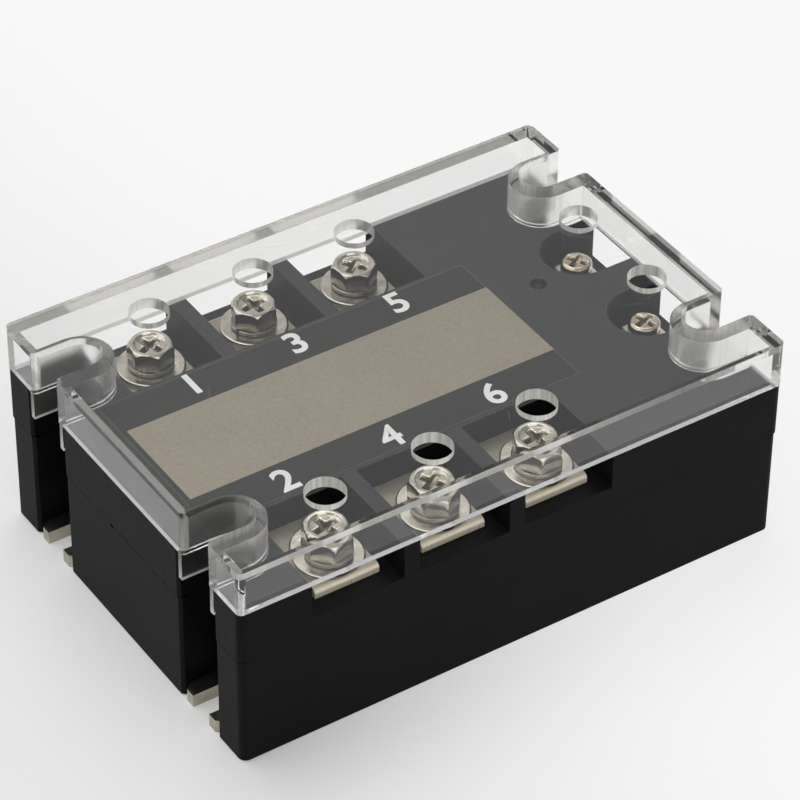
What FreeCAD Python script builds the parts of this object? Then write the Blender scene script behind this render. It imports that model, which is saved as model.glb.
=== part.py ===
import FreeCAD, Part
import math
import os
import Sketcher
from FreeCAD import Placement, Rotation, Vector

# Three-phase solid state relay. X runs along the case towards the control end,
# Y across it, Z up. The origin is the middle of the base plate's underside.

# Driving dimensions in millimetres. Heights named *_z are measured from the base.
DIMENSIONS = {
    # case
    "case_length": 105.0,
    "case_width": 73.5,
    "corner_radius": 1.4,
    "wall": 1.8,
    "upper_wall": 2.6,
    "skirt_z": 0.3,
    "split_z": 21.4,
    "deck_z": 31.6,
    "roof_thickness": 2.0,
    "split_step": 0.15,
    "rail_depth": 1.2,
    "rail_thickness": 1.2,
    "rail_root": 0.5,
    "rail_end_gap": 2.0,
    "fit_gap": 0.15,
    "overcut": 2.0,
    # heatsink mounting slots, centred on a rectangle
    "mount_inset": 6.8,
    "mount_inset_across": 13.15,
    "mount_pitch_long": "=case_length - 2 * mount_inset",
    "mount_pitch_across": "=case_width - 2 * mount_inset_across",
    "mount_slot_radius": 2.5,
    "notch_radius": 5.45,
    "notch_mouth_chamfer": 0.5,
    # base plate
    "plate_thickness": 2.5,
    "plate_inset": 1.9,
    "plate_end_inset": 0.3,
    "plate_corner_chamfer": 1.0,
    "prong_length": 6.0,
    # clear cover
    "cover_top_z": 40.2,
    "cover_thickness": 2.2,
    "cover_wall": 1.9,
    "cover_slot_radius": 3.8,
    "cover_corner_radius": 1.1,
    "liner_z": 26.1,
    "liner_bore_radius": 4.3,
    "liner_end_gap": 0.1,
    "driver_hole_radius": 3.4,
    # load terminals: three columns, two rows
    "column_pitch": 20.1,
    "column_inset": 21.9,
    "middle_column": "=column_inset + column_pitch - case_length / 2",
    "row_inset": 9.65,
    "row_offset": "=case_width / 2 - row_inset",
    "bay_width": 17.2,
    "bay_depth": 18.55,
    "bay_inner": "=case_width / 2 - bay_depth",
    "bay_floor_z": 25.1,
    "seat_z": 25.8,
    "seat_side": 10.4,
    "strap_thickness": 1.0,
    "strap_width": 12.0,
    "strap_reach_out": 6.3,
    "strap_reach_in": 8.6,
    "strap_bend_radius": 0.9,
    "leg_width": 8.0,
    "foot_length": 3.5,
    "strap_hole_radius": 2.15,
    # M4 terminal screws with captive washers
    "screw_radius": 1.95,
    "screw_length": 9.5,
    "screw_bore_radius": 2.0,
    "head_flats": 7.0,
    "head_height": 3.4,
    "recess_width": 0.95,
    "recess_span": 4.2,
    "recess_depth": 1.5,
    "spring_washer_radius": 3.7,
    "spring_washer_height": 1.1,
    "flat_washer_radius": 6.1,
    "flat_washer_height": 1.0,
    "nut_flats": 7.0,
    "nut_height": 3.2,
    "nut_clearance": 0.1,
    "shank_clearance": 0.3,
    # control terminals
    "control_inset": 8.6,
    "control_column": "=case_length / 2 - control_inset",
    "control_offset": 9.9,
    "pocket_radius": 6.4,
    "pocket_floor_z": 22.9,
    "pedestal_z": 25.8,
    "pedestal_side": 7.6,
    "tab_thickness": 1.0,
    "tab_width": 6.0,
    "tab_outer": 3.4,
    "tab_inner": 4.4,
    "tab_leg_width": 3.0,
    "control_hole_radius": 3.3,
    "clamp_side": 5.4,
    "clamp_thickness": 1.0,
    "control_screw_radius": 1.45,
    "control_screw_length": 7.5,
    "control_screw_play": 0.1,
    "control_head_radius": 2.75,
    "control_head_height": 2.0,
    "control_recess_width": 0.8,
    "control_recess_span": 3.2,
    "control_nut_flats": 5.5,
    "control_nut_height": 2.4,
    "control_bore_radius": 1.5,
    # circuit inside
    "substrate_length": 41.0,
    "substrate_width": 15.0,
    "substrate_thickness": 1.0,
    "die_side": 9.0,
    "die_thickness": 0.5,
    "die_offset": 7.5,
    "clip_width": 4.6,
    "clip_thickness": 0.4,
    "clip_reach": 7.0,
    "clip_gap": 0.3,
    "gate_pin_side": 0.7,
    "gate_pin_offset": 3.6,
    "board_z": 13.0,
    "board_thickness": 1.6,
    "board_end_gap": 7.0,
    "board_length": "=case_length - 2 * board_end_gap",
    "board_side_gap": 21.25,
    "board_width": "=case_width - 2 * board_side_gap",
    "ledge_thickness": 2.0,
    "ledge_length": 4.0,
    "ledge_lap": 2.1,
    "ledge_inner": "=board_width / 2 - ledge_lap",
    "driver_length": 8.8,
    "driver_width": 6.4,
    "driver_height": 3.6,
    "resistor_length": 11.0,
    "resistor_width": 4.0,
    "resistor_height": 4.2,
    "part_gap": 0.2,
    "resistor_offset": "=driver_width / 2 + part_gap + resistor_width / 2",
    "capacitor_length": 13.0,
    "capacitor_width": 5.0,
    "capacitor_height": 10.0,
    "capacitor_inset": 3.9,
    "capacitor_offset": "=board_width / 2 - capacitor_inset",
    "varistor_length": 9.0,
    "varistor_width": 3.6,
    "varistor_height": 9.5,
    "varistor_inset": 2.3,
    "varistor_offset": "=board_width / 2 - varistor_inset",
    "regulator_side": 4.6,
    "regulator_height": 4.6,
    "regulator_setback": 16.9,
    "regulator_column": "=control_column - regulator_setback",
    # status lamp and label
    "lamp_setback": 10.7,
    "lamp_column": "=control_column - lamp_setback",
    "lamp_offset": 6.1,
    "lamp_hole_radius": 1.5,
    "lamp_radius": 1.3,
    "lamp_top_z": 31.3,
    "lamp_body_height": 4.3,
    "lamp_lead_side": 0.5,
    "lamp_lead_pitch": 1.27,
    "label_length": 71.4,
    "label_side_gap": 19.25,
    "label_width": "=case_width - 2 * label_side_gap",
    "label_thickness": 0.15,
}

COLUMNS = {"1": -1, "2": 0, "3": 1}
ROWS = {"l": 1, "t": -1}
CONTROLS = {"plus": 1, "minus": -1}
EDGE_TOLERANCE = 1e-3

# The six washer stacks are many-sided prisms, which keeps their meshes light.
WASHER_SIDES = 24

doc = FreeCAD.newDocument("solid_state_relay")
sheet = doc.addObject("Spreadsheet::Sheet", "dims")
for row, (alias, value) in enumerate(DIMENSIONS.items(), start=1):
    sheet.set(f"A{row}", alias)
    sheet.set(f"B{row}", str(value))
    sheet.setAlias(f"B{row}", alias)
doc.recompute()

nodes = []


def node(item, label):
    """Marks a finished piece, which is exported under its label."""
    item.Label = label
    nodes.append(item)
    return item


def bind(item, **expressions):
    """Binds properties to expressions over the spreadsheet."""
    for prop, text in expressions.items():
        item.setExpression(prop.replace("__", "."), text)


def place(item, x="0", y="0", z="0"):
    """Binds an item's position to expressions."""
    for axis, text in zip("xyz", (x, y, z)):
        if text != "0":
            item.setExpression(f"Placement.Base.{axis}", text)


# ---------------------------------------------------------------- PartDesign


def new_body(label):
    return node(doc.addObject("PartDesign::Body", label), label)


def origin_feature(body, role):
    """One of the body's own planes or axes."""
    return next(item for item in body.Origin.OriginFeatures if item.Role == role)


def sketch_at(body, name, x="0", y="0", z="0"):
    """An empty sketch parallel to the body's base plane, at a bound position."""
    sketch = body.newObject("Sketcher::SketchObject", name)
    sketch.AttachmentSupport = (origin_feature(body, "XY_Plane"), [""])
    sketch.MapMode = "FlatFace"
    for axis, text in zip("xyz", (x, y, z)):
        if text != "0":
            sketch.setExpression(f"AttachmentOffset.Base.{axis}", text)
    return sketch


def constrain(sketch, kind, *references, size=None):
    """Adds a constraint, bound to an expression if it has a size."""
    if size is None:
        sketch.addConstraint(Sketcher.Constraint(kind, *references))
    else:
        index = sketch.addConstraint(Sketcher.Constraint(kind, *references, 1.0))
        sketch.setExpression(f"Constraints[{index}]", size)


def rectangle(sketch, length, width):
    """A rectangle centred on the sketch's origin."""
    corners = [Vector(-1, -1, 0), Vector(1, -1, 0), Vector(1, 1, 0), Vector(-1, 1, 0)]
    for start, end in zip(corners, corners[1:] + corners[:1]):
        sketch.addGeometry(Part.LineSegment(start, end), False)
    for line in range(4):
        constrain(sketch, "Coincident", line, 2, (line + 1) % 4, 1)
        constrain(sketch, "Horizontal" if line % 2 == 0 else "Vertical", line)
    constrain(sketch, "Symmetric", 0, 1, 2, 1, -1, 1)
    constrain(sketch, "DistanceX", 0, 1, 0, 2, size=length)
    constrain(sketch, "DistanceY", 1, 1, 1, 2, size=width)
    return sketch


def circle(sketch, radius):
    """A circle centred on the sketch's origin."""
    sketch.addGeometry(Part.Circle(Vector(0, 0, 0), Vector(0, 0, 1), 1.0), False)
    constrain(sketch, "Coincident", 0, 3, -1, 1)
    constrain(sketch, "Radius", 0, size=radius)
    return sketch


def hexagon_sketch(sketch, apothem):
    """A regular hexagon about the sketch's origin, with two sides along X."""
    corners = [
        Vector(math.cos(math.radians(angle)), math.sin(math.radians(angle)), 0)
        for angle in range(0, 360, 60)
    ]
    for start, end in zip(corners, corners[1:] + corners[:1]):
        sketch.addGeometry(Part.LineSegment(start, end), False)
    sketch.addGeometry(Part.Circle(Vector(0, 0, 0), Vector(0, 0, 1), 1.0), True)
    constrain(sketch, "Coincident", 6, 3, -1, 1)
    for side in range(6):
        constrain(sketch, "Coincident", side, 2, (side + 1) % 6, 1)
        constrain(sketch, "PointOnObject", side, 1, 6)
    for side in range(1, 6):
        constrain(sketch, "Equal", 0, side)
    constrain(sketch, "Horizontal", 1)
    constrain(sketch, "Radius", 6, size=f"({apothem}) / cos(30 deg)")
    return sketch


def open_slot(sketch, radius, reach, side):
    """A half round about the sketch's origin, run out straight to one side in X."""
    quarter = math.pi / 2
    arc = Part.Circle(Vector(0, 0, 0), Vector(0, 0, 1), 1.0)
    first = quarter if side > 0 else -quarter
    sketch.addGeometry(Part.ArcOfCircle(arc, first, first + math.pi), False)
    ends = [Vector(0, side, 0), Vector(0, -side, 0)]
    mouth = [point + Vector(3 * side, 0, 0) for point in ends]
    sketch.addGeometry(Part.LineSegment(ends[1], mouth[1]), False)
    sketch.addGeometry(Part.LineSegment(mouth[1], mouth[0]), False)
    sketch.addGeometry(Part.LineSegment(mouth[0], ends[0]), False)
    constrain(sketch, "Coincident", 0, 3, -1, 1)
    constrain(sketch, "Tangent", 0, 2, 1, 1)
    constrain(sketch, "Coincident", 1, 2, 2, 1)
    constrain(sketch, "Coincident", 2, 2, 3, 1)
    constrain(sketch, "Tangent", 3, 2, 0, 1)
    constrain(sketch, "Horizontal", 1)
    constrain(sketch, "Vertical", 2)
    constrain(sketch, "Horizontal", 3)
    constrain(sketch, "Radius", 0, size=radius)
    if side > 0:
        constrain(sketch, "DistanceX", 1, 1, 1, 2, size=reach)
    else:
        constrain(sketch, "DistanceX", 1, 2, 1, 1, size=reach)
    return sketch


def pad(body, sketch, length):
    feature = body.newObject("PartDesign::Pad", sketch.Name + "_pad")
    feature.Profile = sketch
    feature.setExpression("Length", length)
    return feature


def pocket(body, sketch, depth=None):
    """Cuts downwards from the sketch, through everything if it has no depth."""
    feature = body.newObject("PartDesign::Pocket", sketch.Name + "_pocket")
    feature.Profile = sketch
    if depth is None:
        feature.Type = "ThroughAll"
    else:
        feature.setExpression("Length", depth)
    return feature


def repeated(body, feature, steps):
    """Repeats a feature: each step is a mirror plane's role or a row of columns."""
    multi = body.newObject("PartDesign::MultiTransform", feature.Name + "_set")
    multi.Originals = [feature]
    transformations = []
    for count, step in enumerate(steps):
        if step == "columns":
            part = doc.addObject("PartDesign::LinearPattern", f"{multi.Name}_{count}")
            part.Direction = (origin_feature(body, "X_Axis"), [""])
            part.Occurrences = len(COLUMNS)
            part.setExpression("Length", "2 * dims.column_pitch")
        else:
            part = doc.addObject("PartDesign::Mirrored", f"{multi.Name}_{count}")
            part.MirrorPlane = (origin_feature(body, step), [""])
        transformations.append(part)
    multi.Transformations = transformations
    body.Tip = multi
    return multi


FOUR = ("XZ_Plane", "YZ_Plane")
PAIR = ("XZ_Plane",)
SIX = ("columns", "XZ_Plane")


def edges_where(feature, test):
    """Names of a feature's edges that pass a test."""
    doc.recompute()
    edges = feature.Shape.Edges
    return [f"Edge{number}" for number, edge in enumerate(edges, start=1) if test(edge)]


def is_upright(edge):
    box = edge.BoundBox
    return max(box.XLength, box.YLength) < EDGE_TOLERANCE < box.ZLength


def lies_at(edge, **bounds):
    """Does the whole edge lie at these coordinates?"""
    box = edge.BoundBox
    return all(
        abs(getattr(box, axis + end) - value) < EDGE_TOLERANCE
        for axis, value in bounds.items()
        for end in ("Min", "Max")
    )


def dressed(body, feature, test, kind, size):
    """A Fillet or Chamfer on the edges of the body's last feature that pass a test."""
    names = edges_where(feature, test)
    dressing = body.newObject(f"PartDesign::{kind}", feature.Name + "_" + kind.lower())
    dressing.Base = (feature, names)
    dressing.setExpression("Radius" if kind == "Fillet" else "Size", size)


def value(alias):
    """A driving dimension's present value, for finding edges by position."""
    return float(getattr(sheet, alias))


# ------------------------------------------------------------ Part primitives


def box(name, length, width, height, x="0", y="0", z="0"):
    """A box centred on x and y, standing on z. All are expressions."""
    item = doc.addObject("Part::Box", name)
    bind(item, Length=length, Width=width, Height=height)
    place(item, f"{x} - ({length}) / 2", f"{y} - ({width}) / 2", z)
    return item


def cylinder(name, radius, height, x="0", y="0", z="0"):
    item = doc.addObject("Part::Cylinder", name)
    bind(item, Radius=radius, Height=height)
    place(item, x, y, z)
    return item


def prism(name, sides, flats, height, z="0"):
    """A regular prism; flats is the distance across opposite flats."""
    item = doc.addObject("Part::Prism", name)
    item.Polygon = sides
    bind(item, Circumradius=f"({flats}) / 2 / cos(180 deg / {sides})", Height=height)
    place(item, z=z)
    return item


def joined(kind, name, items):
    """A fusion (MultiFuse) or a group (Compound)."""
    item = doc.addObject(f"Part::{kind}", name)
    if kind == "Compound":
        item.Links = items
    else:
        item.Shapes = items
    return item


def cut(name, base, tool):
    item = doc.addObject("Part::Cut", name)
    item.Base = base
    item.Tool = tool
    return item


# --------------------------------------------------------------------- places

MOUNT_X = "-dims.mount_pitch_long / 2"
MOUNT_Y = "-dims.mount_pitch_across / 2"
FIRST_COLUMN = "dims.middle_column - dims.column_pitch"
BOARD_TOP = "dims.board_z + dims.board_thickness"
SUBSTRATE_TOP = "dims.plate_thickness + dims.substrate_thickness"
STRAP_TOP = "dims.seat_z + dims.strap_thickness"
TAB_TOP = "dims.pedestal_z + dims.tab_thickness"


def column_x(step):
    return f"dims.middle_column + {step} * dims.column_pitch"


def row_y(side):
    return f"{side} * dims.row_offset"


def each_terminal():
    """Yields the name ending, column step and row side of each load terminal."""
    for row, side in ROWS.items():
        for column, step in COLUMNS.items():
            yield row + column, step, side


# --------------------------------------------------------------------- pieces


def base_plate():
    """Metal heatsink plate with prongs that reach into the housing's notches."""
    body = new_body("base_plate")
    outline = rectangle(
        sketch_at(body, "plate_outline"),
        "dims.case_length - 2 * dims.plate_inset",
        "dims.case_width - 2 * dims.plate_inset",
    )
    pad(body, outline, "dims.plate_thickness")
    prong = rectangle(
        sketch_at(
            body,
            "prong",
            "(dims.prong_length - dims.case_length) / 2 + dims.plate_end_inset",
            MOUNT_Y,
        ),
        "dims.prong_length",
        "2 * (dims.notch_radius - dims.fit_gap)",
    )
    repeated(body, pad(body, prong, "dims.plate_thickness"), FOUR)
    slot = open_slot(
        sketch_at(body, "mount_slot", MOUNT_X, MOUNT_Y, "dims.plate_thickness"),
        "dims.mount_slot_radius",
        "dims.mount_inset + dims.overcut",
        side=-1,
    )
    slots = repeated(body, pocket(body, slot), FOUR)
    end = value("case_length") / 2 - value("plate_end_inset")
    middle = value("mount_pitch_across") / 2

    def is_prong_corner(edge):
        box = edge.BoundBox
        off_slot = abs(abs(box.YMin) - middle) > value("mount_slot_radius") + EDGE_TOLERANCE
        return is_upright(edge) and abs(abs(box.XMin) - end) < EDGE_TOLERANCE and off_slot

    dressed(body, slots, is_prong_corner, "Chamfer", "dims.plate_corner_chamfer")


def housing_block(body, name, length, width, bottom, top, corner):
    """The outer block of a housing, standing on bottom and rounded upright."""
    outline = rectangle(sketch_at(body, name, z=bottom), length, width)
    block = pad(body, outline, f"{top} - ({bottom})")
    dressed(body, block, is_upright, "Fillet", corner)


def notches(body, name, top, radius, depth=None):
    """The four notches in the ends, one above each mounting slot."""
    profile = open_slot(
        sketch_at(body, name, MOUNT_X, MOUNT_Y, top),
        radius,
        "dims.mount_inset + dims.overcut",
        side=-1,
    )
    return repeated(body, pocket(body, profile, depth), FOUR)


def lugs(body, name, bottom, height, radius, end_gap):
    """Four half-round lugs that surround the notches and end flush with the case."""
    profile = open_slot(
        sketch_at(body, name, MOUNT_X, MOUNT_Y, bottom),
        radius,
        f"dims.mount_inset - ({end_gap})",
        side=-1,
    )
    repeated(body, pad(body, profile, height), FOUR)


def mouth_edges(end):
    """A test for the upright edges where the notches meet an end face."""
    reach = value("mount_pitch_across") / 2 + value("notch_radius") + EDGE_TOLERANCE

    def test(edge):
        box = edge.BoundBox
        at_end = abs(abs(box.XMin) - end) < EDGE_TOLERANCE
        return is_upright(edge) and at_end and abs(box.YMin) < reach

    return test


def lower_housing():
    """Lower half of the case: a frame seated on the base plate."""
    body = new_body("lower_housing")
    length = "dims.case_length - 2 * dims.split_step"
    width = "dims.case_width - 2 * dims.split_step"
    housing_block(
        body, "lower_outline", length, width, "dims.skirt_z", "dims.split_z", "dims.corner_radius"
    )
    notch_room = "2 * (dims.notch_radius + dims.wall)"
    cavities = {
        "between_ends": (f"dims.mount_pitch_long - {notch_room}", f"{width} - 2 * dims.wall"),
        "between_notches": (f"{length} - 2 * dims.wall", f"dims.mount_pitch_across - {notch_room}"),
    }
    for name, (cavity_length, cavity_width) in cavities.items():
        cavity = rectangle(
            sketch_at(body, f"cavity_{name}", z="dims.split_z"), cavity_length, cavity_width
        )
        pocket(body, cavity)
    ledge_end = "(dims.mount_pitch_across / 2 - dims.notch_radius - dims.wall / 2)"
    ledge = rectangle(
        sketch_at(
            body,
            "board_ledge",
            "-dims.board_length / 2",
            f"-(dims.ledge_inner + {ledge_end}) / 2",
            "dims.board_z - dims.ledge_thickness",
        ),
        "dims.ledge_length",
        f"{ledge_end} - dims.ledge_inner",
    )
    repeated(body, pad(body, ledge, "dims.ledge_thickness"), FOUR)
    opened = notches(body, "lower_notch", "dims.split_z", "dims.notch_radius")
    end = value("case_length") / 2 - value("split_step")
    dressed(body, opened, mouth_edges(end), "Chamfer", "dims.notch_mouth_chamfer")
    seat = rectangle(
        sketch_at(body, "plate_seat", z="dims.plate_thickness"),
        "dims.case_length - 2 * (dims.plate_inset - dims.fit_gap)",
        "dims.case_width - 2 * (dims.plate_inset - dims.fit_gap)",
    )
    pocket(body, seat)


def upper_housing():
    """Upper half of the case: terminal bays, control pockets and label deck."""
    body = new_body("upper_housing")
    housing_block(
        body,
        "upper_outline",
        "dims.case_length",
        "dims.case_width",
        "dims.split_z",
        "dims.deck_z",
        "dims.corner_radius",
    )
    # room for the board's parts under the deck
    room_end = "(dims.control_column - dims.pocket_radius - dims.wall)"
    room_start = "(dims.case_length / 2 - dims.upper_wall)"
    deck_room = rectangle(
        sketch_at(
            body,
            "deck_room",
            f"({room_end} - {room_start}) / 2",
            z="dims.deck_z - dims.roof_thickness",
        ),
        f"{room_end} + {room_start}",
        "2 * (dims.bay_inner - dims.wall)",
    )
    pocket(body, deck_room)
    terminal_bays(body)
    control_pockets(body)
    lamp_hole = circle(
        sketch_at(body, "lamp_hole", "dims.lamp_column", "dims.lamp_offset", "dims.deck_z"),
        "dims.lamp_hole_radius",
    )
    pocket(body, lamp_hole)
    locating_rails(body)
    opened = notches(body, "upper_notch", "dims.deck_z", "dims.notch_radius")
    at_end = mouth_edges(value("case_length") / 2)
    dressed(body, opened, at_end, "Chamfer", "dims.notch_mouth_chamfer")


def nut_seat(body, name, x, y, top, size, steps):
    """A square seat on the floor below, with a hexagon room for a nut and a shank room.

    size holds expressions for the seat's side, its bottom, the nut's flats and height,
    and the screw's radius.
    """
    side, bottom, flats, height, shank = size
    seat = rectangle(sketch_at(body, f"{name}_seat", x, y, bottom), side, side)
    repeated(body, pad(body, seat, f"{top} - {bottom}"), steps)
    nut_room = hexagon_sketch(
        sketch_at(body, f"{name}_nut_room", x, y, top), f"{flats} / 2 + dims.nut_clearance"
    )
    repeated(body, pocket(body, nut_room, f"{height} + dims.nut_clearance"), steps)
    shank_side = f"2 * ({shank} + dims.shank_clearance)"
    shank_room = rectangle(
        sketch_at(body, f"{name}_shank_room", x, y, top), shank_side, shank_side
    )
    repeated(body, pocket(body, shank_room), steps)


def terminal_bays(body):
    """The six bays along the sides, each with a nut seat and a slot for its strap."""
    bay = rectangle(
        sketch_at(
            body,
            "bay",
            FIRST_COLUMN,
            "-(dims.bay_inner + dims.case_width / 2 + dims.overcut) / 2",
            "dims.deck_z",
        ),
        "dims.bay_width",
        "dims.case_width / 2 + dims.overcut - dims.bay_inner",
    )
    repeated(body, pocket(body, bay, "dims.deck_z - dims.bay_floor_z"), SIX)
    size = (
        "dims.seat_side",
        "dims.bay_floor_z",
        "dims.nut_flats",
        "dims.nut_height",
        "dims.screw_radius",
    )
    nut_seat(body, "load", FIRST_COLUMN, "-dims.row_offset", "dims.seat_z", size, SIX)
    leg_slot = rectangle(
        sketch_at(
            body,
            "leg_slot",
            FIRST_COLUMN,
            "dims.strap_reach_in - dims.strap_thickness / 2 - dims.row_offset",
            "dims.bay_floor_z",
        ),
        "dims.leg_width + 2 * dims.fit_gap",
        "dims.strap_thickness + 2 * dims.fit_gap",
    )
    repeated(body, pocket(body, leg_slot), SIX)


def control_pockets(body):
    """The two control pockets open to the +X end, with a pedestal for each terminal."""
    control = ("dims.control_column", "-dims.control_offset")
    control_pocket = open_slot(
        sketch_at(body, "control_pocket", *control, "dims.deck_z"),
        "dims.pocket_radius",
        "dims.control_inset + dims.overcut",
        side=1,
    )
    repeated(body, pocket(body, control_pocket, "dims.deck_z - dims.pocket_floor_z"), PAIR)
    size = (
        "dims.pedestal_side",
        "dims.pocket_floor_z",
        "dims.control_nut_flats",
        "dims.control_nut_height",
        "dims.control_screw_radius",
    )
    nut_seat(body, "control", *control, "dims.pedestal_z", size, PAIR)
    tab_slot = rectangle(
        sketch_at(
            body,
            "tab_slot",
            "dims.control_column - dims.tab_inner + dims.tab_thickness / 2",
            "-dims.control_offset",
            "dims.pedestal_z",
        ),
        "dims.tab_thickness + 2 * dims.fit_gap",
        "dims.tab_leg_width + 2 * dims.fit_gap",
    )
    repeated(body, pocket(body, tab_slot), PAIR)


def locating_rails(body):
    """Rails that locate the upper half inside the lower one."""
    offset = "dims.split_step + dims.wall + dims.fit_gap + dims.rail_thickness / 2"
    trim = "2 * (dims.notch_radius + dims.wall + dims.rail_end_gap)"
    bottom = "dims.split_z - dims.rail_depth"
    height = "dims.rail_depth + dims.rail_root"
    side_rail = rectangle(
        sketch_at(body, "side_rail", y=f"-dims.case_width / 2 + {offset}", z=bottom),
        f"dims.mount_pitch_long - {trim}",
        "dims.rail_thickness",
    )
    repeated(body, pad(body, side_rail, height), PAIR)
    end_rail = rectangle(
        sketch_at(body, "end_rail", f"-dims.case_length / 2 + {offset}", z=bottom),
        "dims.rail_thickness",
        f"dims.mount_pitch_across - {trim}",
    )
    repeated(body, pad(body, end_rail, height), ("YZ_Plane",))


def clear_cover():
    """Moulded clear cover: a shallow box whose U-shaped liners plug the notches."""
    body = new_body("clear_cover")
    height = "dims.cover_top_z - dims.deck_z"
    housing_block(
        body,
        "cover_outline",
        "dims.case_length",
        "dims.case_width",
        "dims.deck_z",
        "dims.cover_top_z",
        "dims.cover_corner_radius",
    )
    inside = rectangle(
        sketch_at(body, "cover_cavity", z="dims.cover_top_z - dims.cover_thickness"),
        "dims.case_length - 2 * dims.cover_wall",
        "dims.case_width - 2 * dims.cover_wall",
    )
    pocket(body, inside)
    lugs(
        body,
        "cover_lug",
        "dims.deck_z",
        height,
        "dims.cover_slot_radius + dims.cover_wall",
        "0",
    )
    liner_depth = "dims.deck_z - dims.liner_z"
    lugs(
        body,
        "liner",
        "dims.liner_z",
        liner_depth,
        "dims.notch_radius - dims.fit_gap",
        "dims.liner_end_gap",
    )
    notches(body, "liner_bore", "dims.deck_z", "dims.liner_bore_radius")
    opened = notches(body, "cover_slot", "dims.cover_top_z", "dims.cover_slot_radius")
    at_end = mouth_edges(value("case_length") / 2)
    dressed(body, opened, at_end, "Chamfer", "dims.notch_mouth_chamfer")
    driver_hole = circle(
        sketch_at(body, "driver_hole", FIRST_COLUMN, "-dims.row_offset", "dims.cover_top_z"),
        "dims.driver_hole_radius",
    )
    repeated(body, pocket(body, driver_hole, "dims.cover_thickness"), SIX)
    control_hole = circle(
        sketch_at(
            body, "control_hole", "dims.control_column", "-dims.control_offset", "dims.cover_top_z"
        ),
        "dims.control_hole_radius",
    )
    repeated(body, pocket(body, control_hole, "dims.cover_thickness"), PAIR)


def rating_label():
    """Foil label stuck on the deck between the two rows of bays."""
    body = new_body("rating_label")
    outline = rectangle(
        sketch_at(body, "label_outline", "dims.middle_column", z="dims.deck_z"),
        "dims.label_length",
        "dims.label_width",
    )
    pad(body, outline, "dims.label_thickness")


def load_terminal(ending, step, side):
    """Bent strap from the screw, through the bay floor, down to its substrate."""
    body = new_body(f"load_terminal_{ending}")
    inner = "dims.strap_reach_in"
    outer = "dims.strap_reach_out"
    plate = rectangle(
        sketch_at(body, f"strap_{ending}", y=f"({outer} - {inner}) / 2", z="dims.seat_z"),
        "dims.strap_width",
        f"{outer} + {inner}",
    )
    pad(body, plate, "dims.strap_thickness")
    lip = rectangle(
        sketch_at(
            body,
            f"lip_{ending}",
            y=f"{outer} - dims.strap_thickness / 2",
            z="dims.bay_floor_z",
        ),
        "dims.strap_width",
        "dims.strap_thickness",
    )
    pad(body, lip, f"{STRAP_TOP} - dims.bay_floor_z")
    leg = rectangle(
        sketch_at(
            body,
            f"leg_{ending}",
            y=f"dims.strap_thickness / 2 - {inner}",
            z=SUBSTRATE_TOP,
        ),
        "dims.leg_width",
        "dims.strap_thickness",
    )
    pad(body, leg, f"{STRAP_TOP} - ({SUBSTRATE_TOP})")
    foot = rectangle(
        sketch_at(
            body,
            f"foot_{ending}",
            y=f"dims.strap_thickness - {inner} - dims.foot_length / 2",
            z=SUBSTRATE_TOP,
        ),
        "dims.leg_width",
        "dims.foot_length",
    )
    pad(body, foot, "dims.strap_thickness")
    hole = circle(
        sketch_at(body, f"strap_hole_{ending}", z=STRAP_TOP), "dims.strap_hole_radius"
    )
    drilled = pocket(body, hole, "dims.strap_thickness")
    top = value("seat_z") + value("strap_thickness")
    front = value("strap_reach_out")
    dressed(
        body,
        drilled,
        lambda edge: lies_at(edge, Z=top, Y=front),
        "Fillet",
        "dims.strap_bend_radius",
    )
    body.Placement = Placement(Vector(0, 0, 0), Rotation(Vector(0, 0, 1), 0 if side > 0 else 180))
    place(body, column_x(step), row_y(side))


def recessed_screw(label, head, kind, under):
    """A screw with a cross recess. kind is screw or control_screw, under its head's seat."""
    prefix = {"screw": "", "control_screw": "control_"}[kind]
    shank = cylinder(
        f"{label}_shank",
        f"dims.{kind}_radius",
        f"dims.{kind}_length",
        z=f"{under} - dims.{kind}_length",
    )
    blank = joined("MultiFuse", f"{label}_blank", [head, shank])
    span, width = f"dims.{prefix}recess_span", f"dims.{prefix}recess_width"
    floor = f"{under} + dims.{prefix}head_height - dims.recess_depth"
    wings = [
        box(f"{label}_wing_x", span, width, "dims.recess_depth", z=floor),
        box(f"{label}_wing_y", width, span, "dims.recess_depth", z=floor),
    ]
    recess = joined("MultiFuse", f"{label}_recess", wings)
    return node(cut(label, blank, recess), label)


def terminal_screw(ending, step, side):
    """M4 hexagon head screw with a cross recess."""
    label = f"terminal_screw_{ending}"
    under = f"({STRAP_TOP} + dims.flat_washer_height + dims.spring_washer_height)"
    head = prism(f"{label}_head", 6, "dims.head_flats", "dims.head_height", under)
    place(recessed_screw(label, head, "screw", under), column_x(step), row_y(side))


def captive_washers(ending, step, side):
    """Flat washer and lock washer, held on the screw and drawn tight."""
    key = f"captive_washers_{ending}"
    flat = prism(
        f"{key}_flat",
        WASHER_SIDES,
        "2 * dims.flat_washer_radius",
        "dims.flat_washer_height",
        STRAP_TOP,
    )
    lock = prism(
        f"{key}_lock",
        WASHER_SIDES,
        "2 * dims.spring_washer_radius",
        "dims.spring_washer_height",
        f"{STRAP_TOP} + dims.flat_washer_height",
    )
    bore = prism(
        f"{key}_bore",
        WASHER_SIDES,
        "2 * dims.strap_hole_radius",
        "dims.flat_washer_height + dims.spring_washer_height",
        STRAP_TOP,
    )
    stack = joined("MultiFuse", f"{key}_stack", [flat, lock])
    washers = node(cut(key, stack, bore), key)
    place(washers, column_x(step), row_y(side))


def nut(key, flats, height, bore_radius, bottom):
    """A hexagon nut, standing on bottom. The sizes are expressions."""
    outside = prism(f"{key}_outside", 6, flats, height, bottom)
    bore = cylinder(f"{key}_bore", bore_radius, height, z=bottom)
    return cut(key, outside, bore)


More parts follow.
